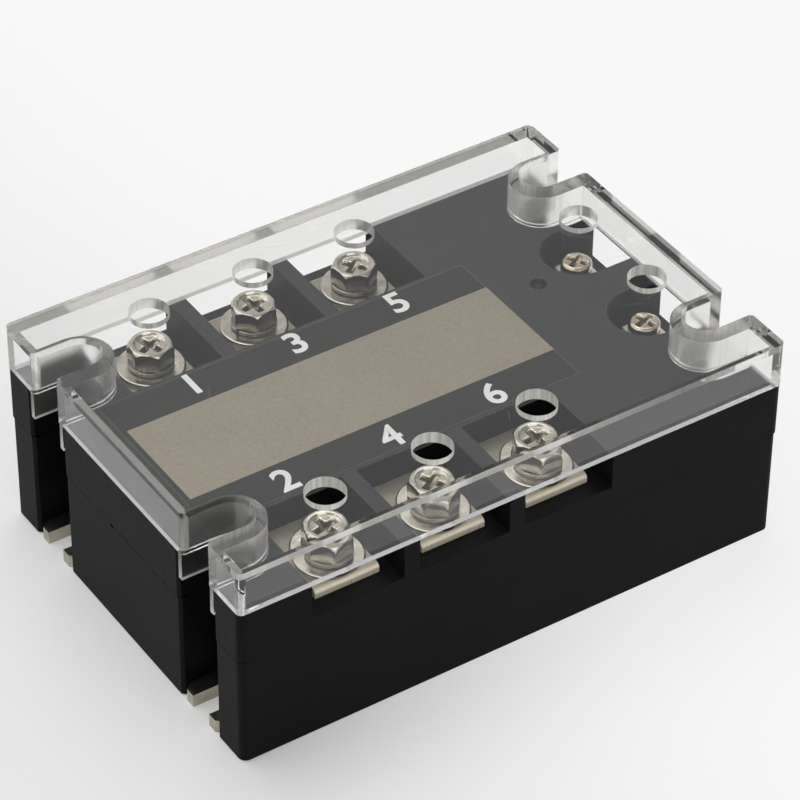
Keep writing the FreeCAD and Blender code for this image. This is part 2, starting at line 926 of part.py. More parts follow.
def captive_nuts():
    """The six M4 nuts held in the seats under the load terminals."""
    nuts = []
    for ending, step, side in each_terminal():
        held = nut(
            f"nut_{ending}",
            "dims.nut_flats",
            "dims.nut_height",
            "dims.screw_bore_radius",
            "dims.seat_z - dims.nut_height",
        )
        place(held, column_x(step), row_y(side))
        nuts.append(held)
    node(joined("Compound", "nuts", nuts), "captive_nuts")


def control_terminal(name, side):
    """Tab on a pedestal in the control pocket, with a leg down to the board."""
    body = new_body(f"control_terminal_{name}")
    tab = rectangle(
        sketch_at(
            body, f"tab_{name}", x="(dims.tab_outer - dims.tab_inner) / 2", z="dims.pedestal_z"
        ),
        "dims.tab_outer + dims.tab_inner",
        "dims.tab_width",
    )
    pad(body, tab, "dims.tab_thickness")
    leg = rectangle(
        sketch_at(
            body, f"tab_leg_{name}", x="dims.tab_thickness / 2 - dims.tab_inner", z=BOARD_TOP
        ),
        "dims.tab_thickness",
        "dims.tab_leg_width",
    )
    pad(body, leg, f"{TAB_TOP} - ({BOARD_TOP})")
    hole = circle(
        sketch_at(body, f"tab_hole_{name}", z=TAB_TOP),
        "dims.control_screw_radius + dims.control_screw_play",
    )
    pocket(body, hole, "dims.tab_thickness")
    place(body, "dims.control_column", f"{side} * dims.control_offset")


def control_clamp(name, side):
    """Square wire clamp that rides under the control screw's head."""
    key = f"control_clamp_{name}"
    side_length, thickness = "dims.clamp_side", "dims.clamp_thickness"
    plate = box(f"{key}_plate", side_length, side_length, thickness, z=TAB_TOP)
    bore = cylinder(
        f"{key}_bore",
        "dims.control_screw_radius + dims.control_screw_play",
        thickness,
        z=TAB_TOP,
    )
    clamp = node(cut(key, plate, bore), key)
    place(clamp, "dims.control_column", f"{side} * dims.control_offset")


def control_screw(name, side):
    """M3 pan head screw with a cross recess."""
    label = f"control_screw_{name}"
    under = f"({TAB_TOP} + dims.clamp_thickness)"
    head = cylinder(
        f"{label}_head", "dims.control_head_radius", "dims.control_head_height", z=under
    )
    screw = recessed_screw(label, head, "control_screw", under)
    place(screw, "dims.control_column", f"{side} * dims.control_offset")


def control_nuts():
    """The two M3 nuts held in the pedestals."""
    nuts = []
    for name, side in CONTROLS.items():
        held = nut(
            f"control_nut_{name}",
            "dims.control_nut_flats",
            "dims.control_nut_height",
            "dims.control_bore_radius",
            "dims.pedestal_z - dims.control_nut_height",
        )
        place(held, "dims.control_column", f"{side} * dims.control_offset")
        nuts.append(held)
    node(joined("Compound", "small_nuts", nuts), "control_nuts")


def power_stage(column, step):
    """One phase: ceramic substrate, two thyristor dies and their clips."""
    substrate = box(
        f"substrate_{column}",
        "dims.substrate_width",
        "dims.substrate_length",
        "dims.substrate_thickness",
        x=column_x(step),
        z="dims.plate_thickness",
    )
    node(substrate, f"ceramic_substrate_{column}")
    dies = []
    clips = []
    for side in (1, -1):
        key = f"{column}_{'far' if side > 0 else 'near'}"
        centre = f"{side} * dims.die_offset"
        dies.append(
            box(
                f"die_{key}",
                "dims.die_side",
                "dims.die_side",
                "dims.die_thickness",
                x=column_x(step),
                y=centre,
                z=SUBSTRATE_TOP,
            )
        )
        clips.append(die_clip(key, step, side))
    node(joined("Compound", f"dies_{column}", dies), f"thyristor_dies_{column}")
    node(joined("Compound", f"clips_{column}", clips), f"cathode_clips_{column}")


def die_clip(key, step, side):
    """Copper clip from a die's top, over its inner edge, down to the substrate."""
    die_top = f"{SUBSTRATE_TOP} + dims.die_thickness"
    inner_edge = "(dims.die_offset - dims.die_side / 2)"
    foot_y = f"{side} * ({inner_edge} - dims.clip_gap - dims.clip_thickness / 2)"
    strap_start = f"{inner_edge} - dims.clip_gap - dims.clip_thickness"
    strap_y = f"{side} * ({strap_start} + dims.clip_reach / 2)"
    strap = box(
        f"clip_strap_{key}",
        "dims.clip_width",
        "dims.clip_reach",
        "dims.clip_thickness",
        y=strap_y,
        z=die_top,
    )
    foot = box(
        f"clip_foot_{key}",
        "dims.clip_width",
        "dims.clip_thickness",
        "dims.die_thickness + dims.clip_thickness",
        y=foot_y,
        z=SUBSTRATE_TOP,
    )
    clip = joined("MultiFuse", f"clip_{key}", [strap, foot])
    place(clip, column_x(step))
    return clip


def gate_pins():
    """Pins that join the dies' gates to the board above."""
    pins = []
    bottom = f"{SUBSTRATE_TOP} + dims.die_thickness"
    for column, step in COLUMNS.items():
        for side in (1, -1):
            pins.append(
                box(
                    f"gate_pin_{column}_{'far' if side > 0 else 'near'}",
                    "dims.gate_pin_side",
                    "dims.gate_pin_side",
                    f"dims.board_z - ({bottom})",
                    x=f"{column_x(step)} + dims.gate_pin_offset",
                    y=f"{side} * (dims.die_offset + dims.gate_pin_offset)",
                    z=bottom,
                )
            )
    node(joined("Compound", "pins", pins), "gate_pins")


def control_board():
    """Printed circuit board on four ledges of the lower housing."""
    board = box(
        "board",
        "dims.board_length",
        "dims.board_width",
        "dims.board_thickness",
        z="dims.board_z",
    )
    node(board, "control_board")


def board_parts():
    """What stands on the board: one set per phase, and the control input's parts."""
    sets = {
        "optocoupler_drivers": ("driver", "0"),
        "snubber_resistors": ("resistor", "-dims.resistor_offset"),
        "snubber_capacitors": ("capacitor", "dims.capacitor_offset"),
        "varistors": ("varistor", "-dims.varistor_offset"),
    }
    for label, (kind, y) in sets.items():
        parts = [
            box(
                f"{kind}_{column}",
                f"dims.{kind}_length",
                f"dims.{kind}_width",
                f"dims.{kind}_height",
                x=column_x(step),
                y=y,
                z=BOARD_TOP,
            )
            for column, step in COLUMNS.items()
        ]
        node(joined("Compound", kind, parts), label)
    regulator = box(
        "regulator",
        "dims.regulator_side",
        "dims.regulator_side",
        "dims.regulator_height",
        x="dims.regulator_column",
        z=BOARD_TOP,
    )
    node(regulator, "input_regulator")


def status_lamp():
    """Small lamp on long leads, seen through the hole in the deck."""
    bottom = "(dims.lamp_top_z - dims.lamp_body_height)"
    barrel = cylinder("lamp_barrel", "dims.lamp_radius", "dims.lamp_body_height", z=bottom)
    leads = [
        box(
            f"lamp_lead_{side}",
            "dims.lamp_lead_side",
            "dims.lamp_lead_side",
            f"{bottom} - ({BOARD_TOP})",
            x=f"{side} * dims.lamp_lead_pitch / 2",
            z=BOARD_TOP,
        )
        for side in (-1, 1)
    ]
    lamp = node(joined("MultiFuse", "lamp", [barrel] + leads), "status_led")
    place(lamp, "dims.lamp_column", "dims.lamp_offset")


def export_nodes():
    """Checks every object and writes one STEP file per node."""
    doc.recompute()
    for item in doc.Objects:
        bad = [state for state in item.State if state in ("Invalid", "Error")]
        if bad:
            raise RuntimeError(f"{item.Name} is {bad}: {item.getStatusString()}")
    os.makedirs("parts", exist_ok=True)
    for item in nodes:
        shape = item.Shape
        if shape.isNull() or not shape.isValid() or not shape.Solids:
            raise RuntimeError(f"{item.Label} has no valid solid")
        shape.exportStep(f"parts/{item.Label}.step")
        print(item.Label, len(shape.Solids), round(shape.Volume, 1))


base_plate()
lower_housing()
upper_housing()
clear_cover()
rating_label()
for ending, step, side in each_terminal():
    load_terminal(ending, step, side)
    terminal_screw(ending, step, side)
    captive_washers(ending, step, side)
captive_nuts()
for name, side in CONTROLS.items():
    control_terminal(name, side)
    control_screw(name, side)
    control_clamp(name, side)
control_nuts()
for column, step in COLUMNS.items():
    power_stage(column, step)
gate_pins()
control_board()
board_parts()
status_lamp()
export_nodes()
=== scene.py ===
import math

import bmesh
import bpy
from mathutils import Matrix, Vector


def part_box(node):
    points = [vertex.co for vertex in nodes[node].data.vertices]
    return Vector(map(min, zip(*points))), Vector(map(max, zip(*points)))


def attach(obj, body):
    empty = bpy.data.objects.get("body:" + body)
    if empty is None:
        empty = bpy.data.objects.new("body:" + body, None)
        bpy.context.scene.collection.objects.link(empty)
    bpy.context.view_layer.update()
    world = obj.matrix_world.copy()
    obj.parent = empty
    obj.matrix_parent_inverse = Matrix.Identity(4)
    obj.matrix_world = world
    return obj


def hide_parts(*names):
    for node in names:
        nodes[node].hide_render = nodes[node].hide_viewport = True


# Looks of a three-phase solid state relay. Blender's lengths are in metres, and MM
# turns millimetres into metres. Masks of a material take their lengths in millimetres.
MM = 0.001

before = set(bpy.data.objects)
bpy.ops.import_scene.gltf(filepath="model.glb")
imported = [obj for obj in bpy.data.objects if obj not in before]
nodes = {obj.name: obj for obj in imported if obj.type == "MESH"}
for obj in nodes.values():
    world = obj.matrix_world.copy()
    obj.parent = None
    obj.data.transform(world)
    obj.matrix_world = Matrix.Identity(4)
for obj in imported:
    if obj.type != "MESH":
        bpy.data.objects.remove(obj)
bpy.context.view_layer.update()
LOAD = [row + column for row in "lt" for column in "123"]
CONTROL = ["plus", "minus"]


# ------------------------------------------------------------------ materials


class Shader:
    """A node material, with short calls for the nodes used here."""

    def __init__(self, name):
        self.material = bpy.data.materials.new(name)
        self.material.use_nodes = True
        self.tree = self.material.node_tree
        self.principled = self.tree.nodes["Principled BSDF"]
        self.output = self.tree.nodes["Material Output"]
        self.point = self.tree.nodes.new("ShaderNodeTexCoord").outputs["Object"]

    def add(self, kind, inputs=(), **settings):
        item = self.tree.nodes.new(kind)
        for key, setting in settings.items():
            setattr(item, key, setting)
        for key, source in dict(inputs).items():
            self.feed(item.inputs[key], source)
        return item

    def feed(self, socket, source):
        """Links a socket to another, or gives it a value."""
        if isinstance(source, bpy.types.NodeSocket):
            self.tree.links.new(source, socket)
        else:
            socket.default_value = source

    def set(self, **inputs):
        """Sets the principled shader's inputs: base_color is Base Color."""
        for key, source in inputs.items():
            name = key.replace("_", " ").title().replace("Ior", "IOR")
            self.feed(self.principled.inputs[name], source)

    def surface(self, shader):
        """Makes a shader the material's surface."""
        self.feed(self.output.inputs["Surface"], shader)
        return self.material

    # Coordinates

    def split(self, vector):
        """The X, Y and Z of a vector."""
        return tuple(self.add("ShaderNodeSeparateXYZ", {0: vector}).outputs)

    def normal(self, kind="True Normal"):
        return self.split(self.add("ShaderNodeNewGeometry").outputs[kind])

    def place(self, scale=(1, 1, 1), turn=0.0):
        """Object coordinates, turned about Z and stretched by a scale."""
        vector = self.point
        if turn:
            vector = self.add(
                "ShaderNodeMapping", {"Vector": vector, "Rotation": (0, 0, turn)}
            ).outputs["Vector"]
        return self.add("ShaderNodeMapping", {"Vector": vector, "Scale": scale}).outputs["Vector"]

    # Textures and colours

    def noise(self, scale, detail=3.0, stretch=(1, 1, 1), roughness=0.5, turn=0.0):
        item = self.add(
            "ShaderNodeTexNoise",
            {
                "Vector": self.place(stretch, turn),
                "Scale": scale,
                "Detail": detail,
                "Roughness": roughness,
            },
        )
        return item.outputs["Fac"]

    def ramp(self, source, *stops):
        """A colour ramp; each stop is (position, grey or colour)."""
        item = self.add("ShaderNodeValToRGB", {"Fac": source})
        elements = item.color_ramp.elements
        while len(elements) < len(stops):
            elements.new(0.5)
        for element, (position, colour) in zip(elements, stops):
            element.position = position
            element.color = rgba(colour)
        return item.outputs["Color"]

    def mix(self, factor, a, b, blend_type="MIX"):
        """Mixes two colours."""
        item = self.add("ShaderNodeMix", data_type="RGBA", blend_type=blend_type)
        self.feed(item.inputs[0], factor)
        for index, source in ((6, a), (7, b)):
            if not isinstance(source, bpy.types.NodeSocket):
                source = rgba(source)
            self.feed(item.inputs[index], source)
        return item.outputs[2]

    def multiply(self, factor, a, b):
        return self.mix(factor, a, b, "MULTIPLY")

    def blend(self, factor, a, b):
        """Mixes two shaders."""
        return self.add("ShaderNodeMixShader", {0: factor, 1: a, 2: b}).outputs[0]

    def bump(self, height, strength, distance):
        """Feeds a height to the shader's normal. The distance is in millimetres."""
        item = self.add(
            "ShaderNodeBump",
            {"Height": height, "Strength": strength, "Distance": distance * MM},
        )
        self.feed(self.principled.inputs["Normal"], item.outputs["Normal"])

    # Masks, with lengths in millimetres

    def math(self, operation, a, b=0.0):
        return self.add(
            "ShaderNodeMath", {0: a, 1: b}, operation=operation
        ).outputs["Value"]

    def above(self, value, limit):
        return self.math("GREATER_THAN", value, limit * MM)

    def below(self, value, limit):
        return self.math("LESS_THAN", value, limit * MM)

    def band(self, value, low, high):
        """1 between two limits of a coordinate."""
        return self.both(self.above(value, low), self.below(value, high))

    def ranged(self, value, source, target):
        """Maps a coordinate from one range to another, smoothly."""
        low, high = (limit * MM for limit in source)
        item = self.add(
            "ShaderNodeMapRange",
            {"Value": value, 1: low, 2: high, 3: target[0], 4: target[1]},
            interpolation_type="SMOOTHSTEP",
        )
        return item.outputs["Result"]

    def either(self, *masks):
        """The largest of several masks."""
        top = masks[0]
        for mask in masks[1:]:
            top = self.math("MAXIMUM", top, mask)
        return top

    def both(self, *masks):
        """The product of several masks."""
        product = masks[0]
        for mask in masks[1:]:
            product = self.math("MULTIPLY", product, mask)
        return product

    def opposite(self, mask):
        return self.math("SUBTRACT", 1.0, mask)


def rgba(colour):
    """A grey or a colour, with an alpha of 1."""
    parts = (colour,) * 3 if isinstance(colour, (int, float)) else tuple(colour)
    return (*parts, 1.0)


def box_in_mm(node):
    low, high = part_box(node)
    return low / MM, high / MM


def moulded_shader(
    name, dark, light, grain=1600.0, depth=0.02, roughness=(0.42, 0.62), gloss=0.5, share=0.35
):
    """Moulded plastic with a fine spark-eroded grain.

    share is the grain's part in the colour; clouds have the rest.
    """
    shader = Shader(name)
    cloud = shader.noise(90.0, 4.0)
    fine = shader.noise(grain, 4.0, roughness=0.7)
    shader.set(
        base_color=shader.ramp(shader.mix(share, cloud, fine), (0.3, dark), (0.7, light)),
        roughness=shader.ramp(fine, (0.3, roughness[0]), (0.7, roughness[1])),
        specular_ior_level=gloss,
    )
    shader.bump(fine, 0.3, depth)
    return shader


def moulded(*args):
    return moulded_shader(*args).material


def black_case():
    """Black housing plastic, with painted light greying its deck, and painted shade darkest in the
    joint and pry notch.
    """
    shader = moulded_shader(
        "black_case",
        (0.001, 0.001, 0.0012),
        (0.0062, 0.0062, 0.0066),
        grain=2600.0,
        depth=0.006,
        gloss=0.08,
        share=0.75,
    )
    low, high = box_in_mm("upper_housing")
    x, y, z = shader.split(shader.point)
    reach = shader.math("ABSOLUTE", x)

    # The locating rails reach below the housings' joint. Painted shade marks the joint's line,
    # fainter along the sides than at the ends, which also have painted shade in a small pry notch
    # under it.
    rail_depth = 1.2
    joint = low.z + rail_depth
    line = shader.both(
        shader.band(z, joint - 0.2, joint + 0.08),
        shader.ranged(reach, (49.0, 51.5), (0.25, 1.0)),
    )
    notch = shader.both(
        shader.band(z, joint - 0.7, joint),
        shader.band(y, 2.8, 3.6),
        shader.band(reach, 52.0, 60.0),
    )

    # Painted light: the deck's level top is lighter, for the light falling on it from above.
    level = shader.math("GREATER_THAN", shader.normal()[2], 0.9)
    deck = shader.both(level, shader.above(z, high.z - 0.3))
    grain = shader.noise(3200.0, 3.0, roughness=0.7)
    painted_deck_light = shader.ramp(grain, (0.32, (0.02, 0.02, 0.021)), (0.68, (0.053, 0.053, 0.056)))
    plain = shader.principled.inputs["Base Color"].links[0].from_socket
    shader.set(base_color=shader.mix(deck, plain, painted_deck_light))

    # A black shader paints the shade in the joint's line and the pry notch.
    hole = shader.add("ShaderNodeBsdfDiffuse", {"Color": rgba(0.0)}).outputs[0]
    gap = shader.either(line, notch)
    return shader.surface(shader.blend(gap, shader.principled.outputs[0], hole))


def plated(
    name,
    dark,
    light,
    roughness=(0.16, 0.34),
    streak=(1, 1, 1),
    scale=400.0,
    depth=0.01,
    metallic=1.0,
    level_shade_share=1.0,
    upright_shade_share=1.0,
    recess_shade_top=None,
):
    """Plated metal: cloudy tone, and fine scratches along the streak.

    Painted shade makes level and upright faces darker by their shares, standing for the
    dark surroundings they reflect. Painted shade also darkens a screw's recess, whose
    top is given in millimetres above the head's underside.
    """
    shader = Shader(name)
    cloud = shader.noise(260.0, 3.0)
    lines = shader.noise(scale, 5.0, streak, 0.65)
    tone = shader.ramp(shader.mix(0.5, cloud, lines), (0.28, dark), (0.72, light))
    # Painted shade on level and upright faces, for the dark surroundings they reflect.
    if min(level_shade_share, upright_shade_share) < 1.0:
        steep = shader.math("ABSOLUTE", shader.normal("Normal")[2])
        shade = shader.ramp(
            steep, (0.05, upright_shade_share), (0.4, 1.0), (0.6, 1.0), (0.95, level_shade_share)
        )
        tone = shader.multiply(1.0, tone, shade)
    # Painted shade darkens the screw's recess.
    if recess_shade_top is not None:
        x, y, z = shader.split(shader.point)
        half = 2.5
        recess = shader.both(
            shader.band(x, -half, half),
            shader.band(y, -half, half),
            shader.band(z, 0.2, recess_shade_top),
        )
        tone = shader.multiply(recess, tone, (0.3, 0.27, 0.22))
    shader.set(
        base_color=tone,
        roughness=shader.ramp(lines, (0.3, roughness[0]), (0.75, roughness[1])),
        metallic=metallic,
    )
    shader.bump(lines, 0.35, depth)
    return shader.material


# The clear cover in millimetres, for its masks. Drops are measured down from its top.
SKIN = 0.3  # an outer face lies this near the cover's box
PLATE_DROP = 2.15  # underside of the plate
WALL_DROP = 8.4  # just above the walls' lower rims
LINER_DROP = 10.0  # just above the liners' lower rims
STRIP_DROP = 1.26  # the walls' upper edge, which looks frosted
WALL = 2.3  # thickness of the walls, with their draft
NOTCH_X, NOTCH_Y = 45.7, 23.6  # middle of a liner's round end
LINER_REACH = 5.9  # just past a liner's outer radius


def clear_plastic(name, frost_all=0.0):
    """Clear acrylic, frosted where it was cut, drilled or drafted.

    Lamps shine through it, so that what it covers stays lit.
    """
    shader = Shader(name)
    both, either, above, below = shader.both, shader.either, shader.above, shader.below
    haze = shader.noise(35.0, 3.0)
    ribs = shader.noise(1500.0, 3.0, (1, 1, 0.02), 0.6)
    low, high = box_in_mm("clear_cover")
    x, y, z = shader.split(shader.point)
    across_x, across_y = shader.math("ABSOLUTE", x), shader.math("ABSOLUTE", y)

    # Distance from the nearest liner's middle line, which runs out through the end.
    along = shader.math("MINIMUM", shader.math("SUBTRACT", across_x, NOTCH_X * MM), 0.0)
    across = shader.math("SUBTRACT", across_y, NOTCH_Y * MM)
    squares = [shader.math("MULTIPLY", leg, leg) for leg in (along, across)]
    reach = shader.math("SQRT", shader.math("ADD", *squares))

    # Faces by their direction, and parts of the cover by their place.
    steep = shader.math("ABSOLUTE", shader.normal()[2])
    upright = shader.math("LESS_THAN", steep, 0.5)
    level = shader.opposite(upright)
    inside = both(below(across_x, high.x - SKIN), below(across_y, high.y - SKIN))
    drilled = both(upright, inside, above(z, high.z - PLATE_DROP))
    liner = both(upright, inside, below(reach, LINER_REACH))
    hole = both(drilled, above(reach, LINER_REACH))
    rim = both(level, below(z, high.z - WALL_DROP))
    low_rim = below(z, high.z - LINER_DROP)
    strip = both(upright, above(z, high.z - STRIP_DROP))
    left_wall, right_wall = below(x, low.x + WALL), above(x, high.x - WALL)
    near_wall, far_wall = below(y, low.y + WALL), above(y, high.y - WALL)
    right_rim = both(rim, right_wall, shader.opposite(low_rim))
    painted_dark_line = shader.band(x, high.x - 1.9, high.x - 1.25)
    top = both(level, above(z, high.z - SKIN))

    satin = shader.math("MULTIPLY", either(drilled, liner), 0.22)
    shader.set(
        base_color=shader.ramp(haze, (0.2, (0.975, 0.975, 0.97)), (0.8, (0.995, 0.995, 0.99))),
        roughness=shader.math("MAXIMUM", satin, shader.math("MULTIPLY", haze, 0.02)),
        ior=1.49,
        transmission_weight=1.0,
    )
    shader.bump(shader.math("MULTIPLY", ribs, hole), 0.2, 0.02)

    # How frosted each part is. The liners clear towards the left, and lower down.
    liner_side = shader.ranged(across, (-4.0, -1.0), (0.15, 1.0))
    liner_fade = either(
        shader.ranged(x, (-40.0, 40.0), (0.12, 0.7)),
        shader.ranged(z, (high.z - 5.5, high.z - 0.5), (0.0, 1.0)),
    )
    liner_ribs = shader.ramp(ribs, (0.3, 0.16), (0.7, 0.3))
    hole_ribs = shader.ramp(ribs, (0.3, 0.5), (0.8, 0.8))
    hole_fade = shader.ranged(y, (-20.0, 15.0), (1.2, 0.7))
    strip_fade = shader.ranged(x, (0.0, 42.0), (0.58, 0.22))
    scratches = [
        shader.ramp(shader.noise(60.0, 2.0, (stretch, 1, 1), 0.5, turn), (0.735, 0.0), (0.77, 0.22))
        for turn, stretch in ((0.5, 45.0), (-0.9, 60.0), (1.9, 50.0))
    ]
    frost = either(
        both(liner, liner_side, liner_fade, liner_ribs),
        both(hole, hole_ribs, hole_fade),
        both(rim, either(far_wall, low_rim, 0.06), 0.85),
        both(rim, left_wall, 0.6),
        both(right_rim, 0.8),
        both(strip, far_wall, 0.36),
        both(strip, near_wall, strip_fade),
        both(top, either(*scratches)),
        frost_all,
    )

    # Frost is powder that scatters light to both sides.
    tone = shader.ramp(ribs, (0.3, (0.84, 0.81, 0.74)), (0.7, (0.95, 0.94, 0.91)))
    # A painted dark reflection: a dark line within the right end's rim.
    tone = shader.mix(both(right_rim, painted_dark_line), tone, (0.06, 0.06, 0.065))
    powder = shader.add("ShaderNodeBsdfDiffuse", {"Color": tone}).outputs[0]
    veil = shader.add("ShaderNodeBsdfTranslucent", {"Color": tone}).outputs[0]
    cloudy = shader.blend(0.6, powder, veil)
    seen = shader.blend(frost, shader.principled.outputs[0], cloudy)
    lamp_ray = shader.add("ShaderNodeLightPath").outputs["Is Shadow Ray"]
    through = shader.add("ShaderNodeBsdfTransparent", {"Color": (0.93, 0.93, 0.925, 1.0)})
    return shader.surface(shader.blend(lamp_ray, seen, through.outputs[0]))


def label_print():
    """Dark printed foil with a bare champagne panel between the terminal numbers."""
    shader = Shader("label_print")
    low, high = box_in_mm("rating_label")
    x, y, _ = shader.split(shader.point)
    panel = shader.both(shader.band(x, -45.1, 25.2), shader.band(y, -10.0, 10.0))
    rim = 0.22
    inner = shader.both(
        shader.band(x, low.x + rim, high.x - rim), shader.band(y, low.y + rim, high.y - rim)
    )
    border = shader.opposite(inner)
    cloud = shader.noise(60.0, 3.0)
    speck = shader.noise(2600.0, 3.0)
    mottle = shader.mix(0.75, cloud, speck)
    ink = shader.ramp(speck, (0.3, (0.003, 0.003, 0.0026)), (0.7, (0.016, 0.015, 0.0125)))
    metal = shader.ramp(mottle, (0.3, (0.228, 0.2, 0.15)), (0.7, (0.322, 0.287, 0.22)))
    shader.set(
        base_color=shader.mix(panel, shader.mix(border, ink, (0.06, 0.06, 0.055)), metal),
        roughness=shader.ramp(speck, (0.3, 0.34), (0.7, 0.5)),
        metallic=shader.math("MULTIPLY", panel, 0.35),
        specular_ior_level=0.2,
    )
    shader.bump(speck, 0.2, 0.01)
    return shader.material


def tinted_lens():
    """The unlit lamp's dark red lens, darkened further by painted shade from the hole it sits in.
    """
    shader = Shader("tinted_lens")
    cloud = shader.noise(500.0, 2.0)
    shader.set(
        # Painted shade: the base colour is darkened for the shadow of the lamp's hole.
        base_color=shader.ramp(cloud, (0.3, (0.003, 0.002, 0.002)), (0.7, (0.009, 0.006, 0.006))),
        roughness=shader.ramp(cloud, (0.3, 0.35), (0.7, 0.5)),
        specular_ior_level=0.2,
    )
    return shader.material


def floor_paper():
    """Matt white sweep; the camera, metal and glass see it paler than it is lit.

    The paper's glow is graded along X, with painted shade towards -X and painted light towards +X,
    and far from the part it is a plain white backdrop.
    """
    shader = Shader("white_sweep")
    cloud = shader.noise(3.0, 2.0)
    shader.set(
        base_color=shader.ramp(cloud, (0.3, (0.86, 0.86, 0.855)), (0.7, (0.89, 0.89, 0.885))),
        roughness=0.9,
        specular_ior_level=0.2,
    )
    path = shader.add("ShaderNodeLightPath").outputs
    seen = shader.either(
        path["Is Camera Ray"], path["Is Glossy Ray"], path["Is Transmission Ray"]
    )
    glow = shader.add("ShaderNodeEmission", {"Color": (1.0, 1.0, 0.998, 1.0), "Strength": 1.0})
    x = shader.split(shader.point)[0]
    # Painted shade and light on the floor: its glow grades from dim at -X to bright at +X.
    painted_light_along_x = shader.ranged(x, (-80.0, 40.0), (0.14, 0.75))
    away = shader.add("ShaderNodeVectorMath", {0: shader.point}, operation="LENGTH")
    backdrop = shader.ranged(away.outputs["Value"], (250.0, 900.0), (0.0, 0.93))
    share = shader.both(seen, shader.either(painted_light_along_x, backdrop))
    return shader.surface(shader.blend(share, shader.principled.outputs[0], glow.outputs[0]))


def recess_height(screw, seat, sunk):
    """Height of the top of a recess's painted shade over the head's underside, in millimetres.

    It starts at a depth below the top of the screw, which stands on the seat.
    """
    return box_in_mm(screw)[1].z - box_in_mm(seat)[1].z - sunk


# Tops of the painted shade in the screws' cross recesses.
M4_RECESS_SHADE_TOP = recess_height("terminal_screw_l1", "captive_washers_l1", 0.85)
M3_RECESS_SHADE_TOP = recess_height("control_screw_plus", "control_clamp_plus", 0.4)
BRIGHT = ((0.50, 0.46, 0.38), (0.80, 0.76, 0.66), (0.08, 0.24))
# Painted shade darkens the screws' upright flanks: a little on the load side, much on the line
# side.
NICKEL = plated("nickel", *BRIGHT, upright_shade_share=0.7, recess_shade_top=M4_RECESS_SHADE_TOP)
FLANK_SHADED_NICKEL = plated("nickel_painted_flank_shade", *BRIGHT, upright_shade_share=0.15, recess_shade_top=M4_RECESS_SHADE_TOP)
CLAMP = plated("clamp_nickel", *BRIGHT)
# The control screws' recesses are darkened with painted shade.
YELLOWED = plated(
    "yellowed_nickel",
    (0.40, 0.32, 0.22),
    (0.84, 0.77, 0.62),
    (0.1, 0.26),
    recess_shade_top=M3_RECESS_SHADE_TOP,
)
WASHER = plated("washer_nickel", (0.40, 0.37, 0.31), (0.68, 0.64, 0.55), (0.12, 0.3))
SPRING = plated("spring_nickel", (0.20, 0.18, 0.15), (0.42, 0.38, 0.32), (0.12, 0.3))
ZINC = plated("zinc", (0.52, 0.53, 0.53), (0.74, 0.74, 0.72), (0.25, 0.45))
# Painted shade makes the terminals' level faces darker than their lips.
TINNED = plated(
    "tinned",
    (0.88, 0.75, 0.54),
    (1.0, 0.95, 0.81),
    (0.25, 0.45),
    streak=(1, 0.3, 0.3),
    scale=1500.0,
    depth=0.1,
    metallic=0.4,
    level_shade_share=0.34,
)
# Painted shade darkens the base plate's level faces, for the dark notch walls above them.
PLATE = plated(
    "base_nickel",
    (0.34, 0.31, 0.25),
    (0.58, 0.54, 0.46),
    (0.3, 0.5),
    streak=(1, 0.2, 1),
    level_shade_share=0.4,
)
COPPER = plated("copper", (0.62, 0.30, 0.18), (0.82, 0.46, 0.31), (0.25, 0.4))
CASE = black_case()
BOARD = moulded("solder_mask", (0.01, 0.09, 0.04), (0.02, 0.13, 0.06), 700.0, 0.03, (0.25, 0.4))
CHIP = moulded("epoxy_black", (0.02, 0.02, 0.02), (0.04, 0.04, 0.042), 1200.0)
RESISTOR = moulded("lacquer_grey", (0.30, 0.37, 0.42), (0.42, 0.48, 0.52), 800.0)
CAPACITOR = moulded("capacitor_amber", (0.45, 0.26, 0.04), (0.58, 0.36, 0.08), 900.0)
VARISTOR = moulded("dipped_blue", (0.02, 0.06, 0.22), (0.04, 0.10, 0.30), 500.0, 0.05, (0.2, 0.35))
CERAMIC = moulded("ceramic", (0.72, 0.71, 0.68), (0.84, 0.83, 0.80), 1400.0)
SILICON = moulded("silicon", (0.10, 0.11, 0.13), (0.18, 0.19, 0.22), 300.0, 0.005, (0.1, 0.2))
WHITE_INK = moulded("white_ink", (0.72, 0.72, 0.71), (0.85, 0.85, 0.84), 1200.0, 0.005)
CLEAR = clear_plastic("clear_acrylic")
CLEAR_EDGE = clear_plastic("clear_acrylic_edge", frost_all=0.6)
LABEL = label_print()
LENS = tinted_lens()

# Material of each CAD node, by its name without its number or side.
CAD_MATERIALS = {
    "base_plate": PLATE,
    "lower_housing": CASE,
    "upper_housing": CASE,
    "clear_cover": CLEAR,
    "rating_label": LABEL,
    "captive_nuts": ZINC,
    "control_nuts": ZINC,
    "gate_pins": COPPER,
    "control_board": BOARD,
    "optocoupler_drivers": CHIP,
    "snubber_resistors": RESISTOR,
    "snubber_capacitors": CAPACITOR,
    "varistors": VARISTOR,
    "input_regulator": CHIP,
    "load_terminal": TINNED,
    "control_terminal": TINNED,
    "control_clamp": CLAMP,
    "ceramic_substrate": CERAMIC,
    "thyristor_dies": SILICON,
    "cathode_clips": COPPER,
}

# Radius of each shown CAD node's eased edges, in millimetres.
EASED_EDGES = {
    "upper_housing": 0.25,
    "lower_housing": 0.25,
    "base_plate": 0.2,
    **{f"load_terminal_{ending}": 0.15 for ending in LOAD},
    **{f"control_terminal_{name}": 0.1 for name in CONTROL},
    **{f"control_clamp_{name}": 0.12 for name in CONTROL},
}


